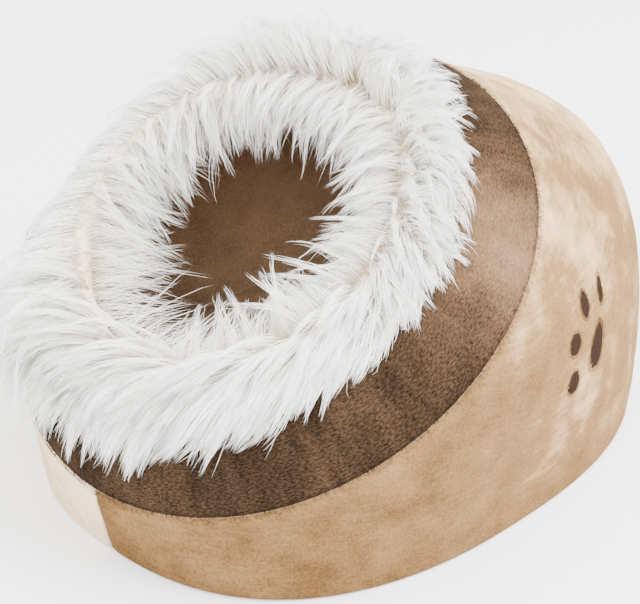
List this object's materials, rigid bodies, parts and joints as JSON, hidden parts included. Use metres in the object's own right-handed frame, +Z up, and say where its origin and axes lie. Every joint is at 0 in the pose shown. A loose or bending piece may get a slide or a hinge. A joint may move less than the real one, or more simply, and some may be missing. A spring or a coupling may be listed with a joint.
{
  "type": "pet cushion bed",
  "caption": "Igloo-shaped plush pet bed with an oval foam base, a tilted round hood, a long-pile trim round the mouth and a loose cushion.",
  "frame": {"origin": "centre of the oval underside, on the floor", "axes": "+Z up, -Y towards the mouth, +X to the right of the bed's depth axis, on the side that carries the paw print"},
  "size_m": [0.3438, 0.4115, 0.2619],
  "materials": {
    "bottom_fabric": "matt nonwoven",
    "foam": "matt open-cell foam",
    "brown_plush": "short-pile plush, soft sheen",
    "beige_plush": "short-pile plush, soft sheen",
    "beige_plush_left": "short-pile plush, nap brushed the other way",
    "fur_backing": "matt knitted backing",
    "fur_pile": "long silky pile",
    "paw_thread": "embroidery thread",
    "beige_thread": "matt thread",
    "brown_thread": "matt thread"
  },
  "bodies": {
    "cave": {"base_cover": "bottom_fabric", "base_foam": "foam", "floor_lining": "brown_plush", "wall_cover_left": "beige_plush_left", "wall_cover_right": "beige_plush", "wall_foam_left": "foam", "wall_foam_right": "foam", "wall_lining_left": "brown_plush", "wall_lining_right": "brown_plush", "hood_cover": "brown_plush", "hood_foam": "foam", "hood_lining": "brown_plush", "fur_backing": "fur_backing", "fur_pile_outer": "fur_pile", "fur_pile_inner": "fur_pile", "paw_palm": "paw_thread", "paw_toe_1": "paw_thread", "paw_toe_2": "paw_thread", "paw_toe_3": "paw_thread", "paw_toe_4": "paw_thread", "base_seam": "beige_thread", "hood_seam": "brown_thread", "rim_seam_outer": "brown_thread", "rim_seam_inner": "brown_thread", "front_seam": "beige_thread", "rear_seam": "beige_thread"},
    "cushion": {"cushion_top": "brown_plush", "cushion_bottom": "brown_plush", "cushion_filling": "foam", "cushion_seam": "brown_thread"}
  },
  "joints": [
    {"name": "cushion_lift", "type": "slide", "parent": "cave", "child": "cushion", "axis": [0, 0, 1], "range_m": [0, 0.04]}
  ]
}
